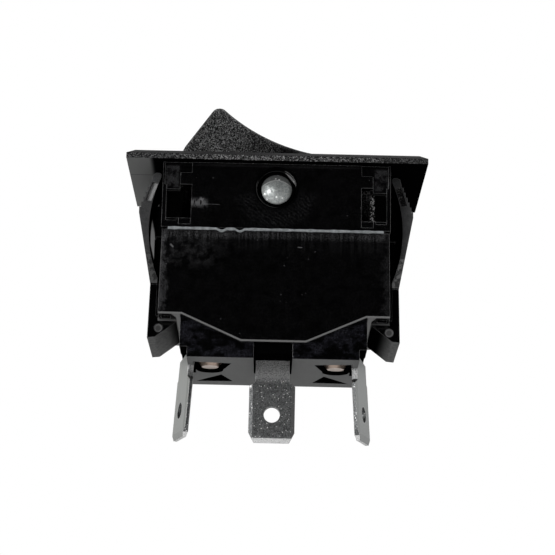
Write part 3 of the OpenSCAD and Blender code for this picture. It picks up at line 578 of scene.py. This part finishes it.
def tinned_sheet(name, settings):
    """Dull tin plating on brass: mottled and painted lighter towards the left, with rolled lines, bright
    pits, a white line near the top of one edge, matte painted shade on the bevels and painted highlights
    along the sheared edges.
    """
    made = Finish(name, Metallic=1.0)
    rounded, turn = made.edges(0.1)
    mottle = made.noise(1.9, 5.0, 0.7)
    spangle = made.cells(3.4)
    rolled = made.lines(9.0, 9.0, 0.5)
    fine = made.noise(7.0, 3.0, 0.75)
    pits = made.cells(2.4).below(0.16, 0.07) * made.noise(0.9).above(0.4, 0.2)
    tone = mottle * 0.25 + spangle * 0.1 + fine * 0.65
    broad = made.facing_x * made.facing_x
    front = 1.0 - broad.above(0.5, 0.1)
    speckled = made.mix(tone.above(0.5, 0.2), settings.tin_low, settings.tin_mid)
    tip = made.z.below(TAB_TIP + 0.6, 0.15) * fine.above(0.35, 0.3)
    shoulder = made.z.above(BASE - 0.9, 2.2) * fine.above(0.42, 0.3)
    # Painted light: the tabs' tone goes lighter towards the left, mixed with the mottle
    mottle_and_left_light = 0.5 * mottle + 0.5 * made.x.below(0.0, 4.0)
    colour = made.mix(front, made.mix(mottle_and_left_light, settings.tin_mid, settings.tin_colour), speckled)
    colour = made.mix(front * shoulder * 0.85, colour, grey(0.85))
    # A white line near the top of each tab's left edge
    white_edge_line = front * made.x.between(-TAB_SIDE - 0.05, -TAB_SIDE + 0.3, 0.08)
    white_edge_line = white_edge_line * made.z.between(BASE - 2.2, BASE - 0.4, 0.4)
    colour = made.mix(white_edge_line * fine.above(0.4, 0.2), colour, grey(1.0))
    # Painted shade: the bevelled faces go matte grey, without their metal gloss
    bevel = made.facing_x.between(0.25, 0.85, 0.1) * made.facing_y.below(-0.3, 0.1)
    bevel = bevel * made.reach.below(TAB_SIDE + 0.15, 0.05)
    made.paint_matte_shade(bevel * (0.45 + 0.5 * fine), grey(0.13))
    colour = made.mix(front * (pits * 0.9 + tip * 0.8), colour, grey(0.95))
    # Painted highlights along the sheared edges
    colour = made.mix(turn.above(0.05, 0.1) * 0.5, colour, grey(0.9))
    rough = 0.34 + 0.2 * mottle + 0.14 * fine - 0.1 * pits
    height = mottle * 0.15 + (rolled * 0.15 + fine * 0.4 + pits * 0.5) * front
    return made.apply(Base_Color=colour, Roughness=rough, Normal=made.bump(height, 0.03, below=rounded))


def plated_steel(name, settings):
    """Dimpled pin heads under a clear gloss: patchy, with pale spots, a top painted dark as reflection over a
    painted highlight line, and a rim painted dark as shade.
    """
    made = Finish(name, Metallic=0.5, Coat_Weight=1.0, Coat_Roughness=0.14)
    radius = made.ring_distance(0.0, PIVOT)
    spots = made.noise(3.6, 4.0, 0.7)
    fine = made.noise(9.0, 3.0, 0.7)
    tone = (spots * 0.6 + fine * 0.4).above(0.5, 0.24)
    colour = made.mix(tone, settings.steel_shade, settings.steel_colour)
    arched = made.z + made.x * made.x * 0.2 - PIVOT
    # Painted reflection: the dome's top darker
    colour = made.mix(arched.above(1.2, 0.12) * 0.65, colour, grey(0.08))
    # Painted highlight: a bright line under the dark top
    colour = made.mix(abs(arched - 1.15).below(0.06, 0.08) * 0.5, colour, grey(0.85))
    colour = made.mix(made.cells(1.1).below(0.15, 0.05) * 0.9, colour, grey(0.95))
    # Painted shade: the rim of the head darker, next to the gap in the bore
    colour = made.mix(radius.above(2.0, 0.15) * 0.7, colour, grey(0.05))
    rough = 0.22 + 0.16 * spots
    return made.apply(Base_Color=colour, Roughness=rough, Normal=made.bump(spots + fine * 0.5, 0.05))


def drawn_wire(name, settings):
    """Spring wire with faint drawing marks."""
    made = Finish(name, Metallic=1.0)
    marks = made.noise(20.0, 3.0)
    colour = made.mix(marks, settings.steel_shade, settings.steel_colour)
    return made.apply(Base_Color=colour, Roughness=0.25 + 0.2 * marks, Normal=made.bump(marks, 0.006))


def plain_brass(name, settings):
    """Stamped brass strip with rolled lines and slight tarnish."""
    made = Finish(name, Metallic=1.0)
    rolled = made.lines(0.6, 14.0, 14.0)
    tarnish = made.noise(0.9, 4.0, 0.6)
    colour = made.mix(tarnish.above(0.55, 0.4), settings.brass_colour, settings.brass_shade)
    rough = 0.22 + 0.15 * rolled + 0.15 * tarnish
    return made.apply(Base_Color=colour, Roughness=rough, Normal=made.bump(rolled, 0.01))


def contact_metal(name, settings):
    """Rivets: silver at the height where the closed pair meets, pale tails, copper elsewhere."""
    made = Finish(name, Metallic=1.0)
    ripple = made.noise(5.0, 3.0)
    silver = made.z.between(-24.0, -21.6, 0.1)
    tail = made.facing_z.below(-0.8, 0.2) * made.z.below(-25.0, 0.2)
    copper = made.mix(ripple, settings.copper_shade, settings.copper_colour)
    colour = made.mix(silver, copper, settings.silver_colour)
    colour = made.mix(tail, colour, settings.tail_colour)
    return made.apply(Base_Color=colour, Roughness=0.3 + 0.2 * ripple, Normal=made.bump(ripple, 0.015))


SLOTS = {
    "body_plastic": (moulded_black, ("bezel_frame", "lower_case")),
    "rocker_plastic": (grained_rocker, ("rocker",)),
    "base_plastic": (plain_black, ("terminal_base", "plunger")),
    "seal": (pale_seal, ("joint_gasket",)),
    "pin_steel": (plated_steel, ("pivot_pin",)),
    "spring_steel": (drawn_wire, ("plunger_spring",)),
    "tinned_brass": (tinned_sheet, ("common_terminal", "left_terminal", "right_terminal")),
    "plain_brass": (plain_brass, ("lever_cradle", "cradle_rivet", "contact_lever")),
    "contact_metal": (
        contact_metal,
        ("left_fixed_contact", "right_fixed_contact", "left_moving_contact", "right_moving_contact"),
    ),
}


# ---------- Surfaces ----------


def carried_piece(name, points, material, closed):
    """Makes a surface from a grid of points, rows along its path and columns round its section.

    A closed path runs back into its own start, and an open one gets a flat face at each end.
    """
    rows, columns = points.shape[:2]
    index = np.arange(rows * columns).reshape(rows, columns)
    following = np.roll(index, -1, axis=0)
    quads = np.stack(
        [index, following, np.roll(following, -1, axis=1), np.roll(index, -1, axis=1)], axis=-1
    )
    if not closed:
        quads = quads[:-1]
    faces = quads.reshape(-1, 4).tolist()
    if not closed:
        faces += [index[0].tolist(), index[-1][::-1].tolist()]
    mesh = bpy.data.meshes.new(name)
    mesh.from_pydata(points.reshape(-1, 3).tolist(), [], faces)
    mesh.shade_smooth()
    piece = bpy.data.objects.new(name, mesh)
    bpy.context.scene.collection.objects.link(piece)
    mesh.materials.append(material)
    return piece


def helix(low, high, radius, wire, turns):
    """A round wire carried along a helix about the plunger's line, between two distances on it.

    The rise is slow in the first and last turn, where the coils lie together, and steady between.
    Distances run from the rocker's hinge along the line, which leans by the rocker's throw.
    """
    lean = math.radians(THROW)
    along = np.array([math.sin(lean), 0.0, math.cos(lean)])
    across = np.array([math.cos(lean), 0.0, -math.sin(lean)])
    side = np.array([0.0, 1.0, 0.0])
    per_turn, round_section = 48, 12
    share = np.linspace(0, 1, per_turn * turns)[:, None]
    round_wire = np.linspace(0, 2 * math.pi, round_section, endpoint=False)[None, :]
    angle = 2 * math.pi * turns * share
    pitch = np.clip((share - 1 / turns) / (1 - 2 / turns), 0, 1)
    touching = wire * 1.04
    close = touching * (np.clip(share * turns, 0, 1) + np.clip((share - 1) * turns + 1, 0, 1))
    rise = low + close + (high - low - 2 * touching) * pitch
    out = radius + wire / 2 * np.cos(round_wire)
    up = rise + wire / 2 * np.sin(round_wire)
    grid = (
        (out * np.cos(angle))[..., None] * across
        + (out * np.sin(angle))[..., None] * side
        + up[..., None] * along
        + np.array([0.0, 0.0, PIVOT])
    )
    ends = [np.array([0.0, 0.0, PIVOT]) + along * end for end in (high, low)]
    return grid * MM, [tuple(end * MM) for end in ends]


def seal_ring(low, high, drop, bulge):
    """A seal squeezed all round the joint: a T-shaped bar carried along a rounded rectangle.

    Two clipped triangle waves walk round a square, and dividing by the power-40 norm rounds its
    corners. The bar is as thin as the joint inside the wall, and its rounded lip swells outside,
    but half a millimetre before each end it tucks back into the joint.
    On the near side its centre drops in two smooth dips. In each, one less the square of the
    distance from the dip's middle, counted in half widths, is squared again.
    """
    steps = 1400
    wall = 0.47
    flat = 0.15
    dip_places, dip_half = (-7.3, -4.85), 0.8
    tuck_in = 0.5
    half = np.array([[high.x / MM - wall], [high.y / MM - wall]])
    step = np.linspace(0, 4, steps, endpoint=False)
    square = np.clip(2 * (np.abs(np.stack([step, step + 1]) % 4 - 2) - 1), -1, 1)
    path = half * square / np.sum(np.abs(square) ** 40, axis=0) ** (1 / 40)
    ahead = np.roll(path, -1, axis=1) - np.roll(path, 1, axis=1)
    ahead = ahead / np.linalg.norm(ahead, axis=0)
    out = np.stack([ahead[1], -ahead[0]]) * np.sign(ahead[1] * path[0] - ahead[0] * path[1])
    dips = sum(np.clip(1 - ((path[0] - x) / dip_half) ** 2, 0, 1) ** 2 for x in dip_places)
    middle = (low.z + high.z) / 2 / MM - drop * dips * (path[1] < 0)
    swell = 1.0 + 0.12 * np.sin(path[0] * 1.7) + 0.08 * np.sin(path[0] * 4.1 + 1.0)
    depth = np.array([-wall, -wall, 0.5, 0.53, 0.58, 0.64, 0.67, 0.67, 0.64, 0.58, 0.53, 0.5])
    lip = depth > 0
    tuck = np.clip((np.abs(path[0]) - half[0] + tuck_in) / 0.12, 0, 1)[:, None] * lip
    depth = depth + bulge * (depth > 0.55) - tuck_in * tuck
    height = np.array([-flat, flat, flat, 0.16, 0.19, 0.16, 0.07, -0.07, -0.16, -0.19, -0.16, -flat])
    height = swell[:, None] * height * (1 - tuck) + np.clip(height, -flat, flat) * tuck
    grid = np.empty((steps, height.shape[1], 3))
    grid[:, :, 0] = path[0][:, None] + out[0][:, None] * depth
    grid[:, :, 1] = path[1][:, None] + out[1][:, None] * depth
    grid[:, :, 2] = middle[:, None] + height
    return grid * MM


# ---------- Settings ----------


def colour_setting(name, description, default):
    return bpy.props.FloatVectorProperty(
        name=name, description=description, default=default, min=0.0, max=1.0, size=3, subtype="COLOR"
    )


def power_setting(name, description, default):
    return bpy.props.FloatProperty(name=name, description=description, default=default, min=0.0, unit="POWER")


def length_setting(name, description, default):
    return bpy.props.FloatProperty(name=name, description=description, default=default, unit="LENGTH")


def angle_setting(name, description, degrees):
    return bpy.props.FloatProperty(
        name=name, description=description, default=math.radians(degrees), subtype="ANGLE"
    )


class FinishSettings(bpy.types.PropertyGroup):
    """Colours and grain of every finish"""

    gloss_colour: colour_setting("Polished plastic", "Colour of the polished walls", (0.0009, 0.0009, 0.001))
    grain_colour: colour_setting("Grain", "Colour of the raised grain on the flange", (0.062, 0.062, 0.064))
    # Dim grain: the grain's tone where the painted light from the left falls off
    grain_mid: colour_setting("Dim grain", "Colour of the least rubbed grain", (0.03, 0.03, 0.031))
    grain_low: colour_setting("Grain pits", "Colour between the flange's grain", (0.003, 0.003, 0.0035))
    satin_colour: colour_setting("Wings", "Light tone of the satin wings", (0.045, 0.046, 0.047))
    satin_shade: colour_setting("Wing shade", "Dark tone of the satin faces", (0.02, 0.02, 0.021))
    # Underside tones: also the painted pool of light on the flange's underside at the left
    under_colour: colour_setting("Underside", "Light tone of the satin undersides", (0.12, 0.123, 0.12))
    under_shade: colour_setting("Underside shade", "Dark tone of the satin undersides", (0.09, 0.092, 0.09))
    # Marks: also the colour of the painted reflection band under the flange
    mark_colour: colour_setting("Marks", "Colour of handling marks", (0.12, 0.12, 0.125))
    # Edges: the colour of the painted edge highlights
    edge_highlight_colour: colour_setting("Edges", "Colour of the worn edges", (0.09, 0.09, 0.092))
    # Broken edges: a painted highlight on the case's broken edge
    chamfer_highlight: colour_setting("Broken edges", "Colour of the case's broken edge", (0.13, 0.13, 0.13))
    rocker_colour: colour_setting("Rocker", "Colour of the rocker's raised grain", (0.045, 0.046, 0.047))
    rocker_low: colour_setting("Rocker pits", "Colour between the rocker's grain", (0.0005, 0.0005, 0.0006))
    base_colour: colour_setting("Base plastic", "Light tone of the base's flow marks", (0.016, 0.016, 0.021))
    seal_colour: colour_setting("Seal", "Colour of the seal", (0.26, 0.275, 0.285))
    seal_shade: colour_setting("Seal shade", "Darker tone of the seal", (0.13, 0.14, 0.145))
    tin_colour: colour_setting("Tin", "Light tone of the tin plating", (0.36, 0.37, 0.355))
    tin_mid: colour_setting("Tin tone", "Middle tone of the tin plating", (0.2, 0.205, 0.205))
    tin_low: colour_setting("Tin shade", "Dark tone of the tin plating", (0.06, 0.061, 0.063))
    steel_colour: colour_setting("Steel", "Colour of the pin", (0.44, 0.465, 0.455))
    steel_shade: colour_setting("Steel shade", "Duller tone of the pin and spring", (0.22, 0.235, 0.235))
    brass_colour: colour_setting("Brass", "Colour of the brass parts", (0.78, 0.58, 0.27))
    brass_shade: colour_setting("Brass tarnish", "Darker tone of the brass", (0.45, 0.3, 0.13))
    copper_colour: colour_setting("Copper", "Colour of the contact rivets", (0.56, 0.45, 0.38))
    copper_shade: colour_setting("Copper shade", "Darker tone of the rivets", (0.3, 0.22, 0.18))
    tail_colour: colour_setting("Rivet tails", "Colour of the rivets' flattened tails", (0.75, 0.66, 0.6))
    silver_colour: colour_setting("Silver", "Colour of the contact faces", (0.85, 0.84, 0.8))
    grain_depth: bpy.props.FloatProperty(
        name="Grain depth", description="Depth of the grain in millimetres", default=0.035, min=0.0, max=0.2
    )


class SealSettings(bpy.types.PropertyGroup):
    """Sizes of the seal's squeezed edge, in millimetres"""

    drop: bpy.props.FloatProperty(
        name="Drop", description="Depth of the two dips in the near edge", default=0.3, min=0.0, max=0.4
    )
    bulge: bpy.props.FloatProperty(
        name="Bulge", description="How far the seal stands out of the joint", default=0.03, min=0.0, max=0.1
    )


class SpringSettings(bpy.types.PropertyGroup):
    """Sizes of the plunger's spring in millimetres, its ends measured from the rocker's hinge"""

    low: bpy.props.FloatProperty(name="Low end", description="Middle of the lowest wire", default=-7.28)
    high: bpy.props.FloatProperty(name="High end", description="Middle of the highest wire", default=-2.56)
    radius: bpy.props.FloatProperty(name="Radius", description="Radius of the coil", default=1.65, min=0.2)
    wire: bpy.props.FloatProperty(name="Wire", description="Thickness of the wire", default=0.4, min=0.1)
    turns: bpy.props.IntProperty(name="Turns", description="Number of turns", default=6, min=3)


class StageSettings(bpy.types.PropertyGroup):
    """Studio light, floor and camera"""

    key_power: power_setting("Key light", "Power of the left front light", 1.5)
    bounce_power: power_setting("Bounce light", "Power of the light from the left and below", 1.3)
    top_power: power_setting("Top light", "Power of the overhead light", 1.1)
    fill_power: power_setting("Fill light", "Power of the right-hand light", 0.35)
    sky: bpy.props.FloatProperty(
        name="Room light", description="Strength of the even room light", default=0.3, min=0.0
    )
    floor_depth: length_setting("Floor depth", "Distance of the floor below the panel plane", 0.16)
    yaw: angle_setting("Yaw", "Camera turn", -0.13)
    elevation: angle_setting("Elevation", "Camera height angle", -15.29)
    roll: angle_setting("Roll", "Camera roll", -1.24)
    distance: length_setting("Distance", "Camera distance", 0.2507)
    lens: bpy.props.FloatProperty(name="Lens", description="Focal length in mm", default=114.81, min=10.0)
    lift: length_setting("Lift", "Camera shift along its own up direction", -0.01294)
    slide: length_setting("Slide", "Camera shift to its own right", 0.00011)


# ---------- Operators ----------


class SWITCH_OT_finishes(bpy.types.Operator):
    """Gives every part of the switch its finish"""

    bl_idname = "switch.finishes"
    bl_label = "Finishes"

    def execute(self, context):
        settings = context.scene.switch_finishes
        for slot, (make, nodes) in SLOTS.items():
            material = make(slot, settings)
            for node in nodes:
                shown = frame["nodes"][node]
                shown.data.materials.clear()
                shown.data.materials.append(material)
        return {"FINISHED"}


class SWITCH_OT_seal(bpy.types.Operator):
    """Stands a squeezed, wavy seal in for the plain one"""

    bl_idname = "switch.seal"
    bl_label = "Squeezed seal"

    def execute(self, context):
        sizes = context.scene.switch_seal
        low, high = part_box("joint_gasket")
        grid = seal_ring(low, high, sizes.drop, sizes.bulge)
        material = frame["nodes"]["joint_gasket"].data.materials[0]
        seal = carried_piece("squeezed_seal", grid, material, True)
        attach(seal, "housing")
        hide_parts("joint_gasket")
        return {"FINISHED"}


class SWITCH_OT_spring(bpy.types.Operator):
    """Stands a coil in for the rigid spring"""

    bl_idname = "switch.spring"
    bl_label = "Plunger spring"

    def execute(self, context):
        sizes = context.scene.switch_spring
        grid, (seat, foot) = helix(sizes.low, sizes.high, sizes.radius, sizes.wire, sizes.turns)
        material = frame["nodes"]["plunger_spring"].data.materials[0]
        coil = carried_piece("coiled_spring", grid, material, False)
        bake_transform(coil)
        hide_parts("plunger_spring")
        return {"FINISHED"}


MIDDLE = Vector((0, 0, -13 * MM))


def area_light(name, place, size, power):
    """A soft rectangular light at a place, turned to the middle of the switch."""
    data = bpy.data.lights.new(name, "AREA")
    data.shape = "RECTANGLE"
    data.size, data.size_y = size
    data.energy = power
    lamp = bpy.data.objects.new(name, data)
    lamp.location = place
    lamp.rotation_mode = "QUATERNION"
    lamp.rotation_quaternion = (MIDDLE - Vector(place)).to_track_quat("-Z", "Y")
    bpy.context.scene.collection.objects.link(lamp)
    return lamp


def studio_world(strength):
    """White to the camera, and even room light, but gloss sees it darken on the camera's own side."""
    world = bpy.data.worlds.new("studio")
    world.use_nodes = True
    tree = world.node_tree
    tree.nodes.clear()

    def node(kind, **settings):
        made = tree.nodes.new(kind)
        for key, value in settings.items():
            setattr(made, key, value)
        return made

    ray = node("ShaderNodeLightPath")
    direction = node("ShaderNodeSeparateXYZ")
    tree.links.new(node("ShaderNodeTexCoord").outputs["Generated"], direction.inputs[0])
    behind = node("ShaderNodeMapRange", interpolation_type="SMOOTHSTEP")
    tree.links.new(direction.outputs["Y"], behind.inputs["Value"])
    behind.inputs["From Min"].default_value = -0.6
    behind.inputs["From Max"].default_value = 0.25
    behind.inputs["To Min"].default_value = 0.0
    room = node("ShaderNodeMix", data_type="FLOAT")
    room.inputs[2].default_value = strength
    tree.links.new(ray.outputs["Is Glossy Ray"], room.inputs[0])
    tree.links.new(behind.outputs[0], room.inputs[3])
    clear = node("ShaderNodeMath", operation="MAXIMUM")
    tree.links.new(ray.outputs["Is Camera Ray"], clear.inputs[0])
    tree.links.new(ray.outputs["Is Transmission Ray"], clear.inputs[1])
    shown = node("ShaderNodeMix", data_type="FLOAT")
    tree.links.new(clear.outputs[0], shown.inputs[0])
    tree.links.new(room.outputs[0], shown.inputs[2])
    shown.inputs[3].default_value = 1.0
    background = node("ShaderNodeBackground")
    background.inputs["Color"].default_value = (1, 1, 1, 1)
    tree.links.new(shown.outputs[0], background.inputs["Strength"])
    tree.links.new(background.outputs[0], node("ShaderNodeOutputWorld").inputs["Surface"])
    return world


def studio_floor(depth):
    """A wide pale floor with its top below the switch."""
    half = 3.0
    turns = ((-1, -1), (1, -1), (1, 1), (-1, 1))
    corners = [(half * x, half * y, -depth) for x, y in turns]
    mesh = bpy.data.meshes.new("floor")
    mesh.from_pydata(corners, [], [(0, 1, 2, 3)])
    floor = bpy.data.objects.new("floor", mesh)
    bpy.context.scene.collection.objects.link(floor)
    material = bpy.data.materials.new("floor")
    material.use_nodes = True
    surface = next(n for n in material.node_tree.nodes if n.type == "BSDF_PRINCIPLED")
    surface.inputs["Base Color"].default_value = (0.9, 0.9, 0.9, 1)
    surface.inputs["Roughness"].default_value = 0.9
    mesh.materials.append(material)
    return floor


def place_camera(settings):
    """Stands the camera at its angles and distance, shifts it along its own axes and rolls it."""
    turn, rise = settings.yaw, settings.elevation
    back = Vector((math.sin(turn) * math.cos(rise), -math.cos(turn) * math.cos(rise), math.sin(rise)))
    ahead = -back
    right = ahead.cross(Vector((0, 0, 1))).normalized()
    up = right.cross(ahead)
    rolled = Matrix.Rotation(settings.roll, 3, ahead)
    right, up = rolled @ right, rolled @ up
    data = bpy.data.cameras.new("camera")
    data.sensor_width = 36.0
    data.lens = settings.lens
    data.clip_start, data.clip_end = 0.01, 20.0
    camera = bpy.data.objects.new("camera", data)
    stand = back * settings.distance + right * settings.slide + up * settings.lift
    camera.matrix_world = Matrix.Translation(stand) @ Matrix((right, up, back)).transposed().to_4x4()
    bpy.context.scene.collection.objects.link(camera)
    bpy.context.scene.camera = camera


class SWITCH_OT_stage(bpy.types.Operator):
    """Sets up the floor, the lights, the backdrop and the camera"""

    bl_idname = "switch.stage"
    bl_label = "Stage"

    def execute(self, context):
        settings = context.scene.switch_stage
        scene = context.scene
        scene.view_settings.view_transform = "Standard"
        scene.world = studio_world(settings.sky)
        lamps = [
            area_light("key", (-0.33, -0.48, 0.04), (0.16, 0.16), settings.key_power),
            area_light("bounce", (-0.3, -0.1, -0.27), (0.2, 0.2), settings.bounce_power),
            area_light("top", (0.06, -0.04, 0.42), (0.3, 0.3), settings.top_power),
            area_light("fill", (0.4, -0.12, 0.05), (0.14, 0.2), settings.fill_power),
        ]
        studio_floor(settings.floor_depth)
        place_camera(settings)
        return {"FINISHED"}


class SWITCH_PT_panel(bpy.types.Panel):
    """Lists the switch's operators and settings"""

    bl_label = "Rocker Switch"
    bl_space_type = "VIEW_3D"
    bl_region_type = "UI"
    bl_category = "Rocker Switch"

    def draw(self, context):
        for operator in (SWITCH_OT_finishes, SWITCH_OT_seal, SWITCH_OT_spring, SWITCH_OT_stage):
            self.layout.operator(operator.bl_idname)
        scene = context.scene
        for group in (scene.switch_finishes, scene.switch_seal, scene.switch_spring, scene.switch_stage):
            for name in group.__annotations__:
                self.layout.prop(group, name)


CLASSES = (
    FinishSettings,
    SealSettings,
    SpringSettings,
    StageSettings,
    SWITCH_OT_finishes,
    SWITCH_OT_seal,
    SWITCH_OT_spring,
    SWITCH_OT_stage,
    SWITCH_PT_panel,
)


def register():
    for item in CLASSES:
        bpy.utils.register_class(item)
    bpy.types.Scene.switch_finishes = bpy.props.PointerProperty(type=FinishSettings)
    bpy.types.Scene.switch_seal = bpy.props.PointerProperty(type=SealSettings)
    bpy.types.Scene.switch_spring = bpy.props.PointerProperty(type=SpringSettings)
    bpy.types.Scene.switch_stage = bpy.props.PointerProperty(type=StageSettings)


def unregister():
    del bpy.types.Scene.switch_finishes
    del bpy.types.Scene.switch_seal
    del bpy.types.Scene.switch_spring
    del bpy.types.Scene.switch_stage
    for item in reversed(CLASSES):
        bpy.utils.unregister_class(item)


def main():
    register()
    bpy.ops.switch.finishes()
    bpy.ops.switch.seal()
    bpy.ops.switch.spring()
    bpy.ops.switch.stage()


if __name__ == "__main__":
    main()
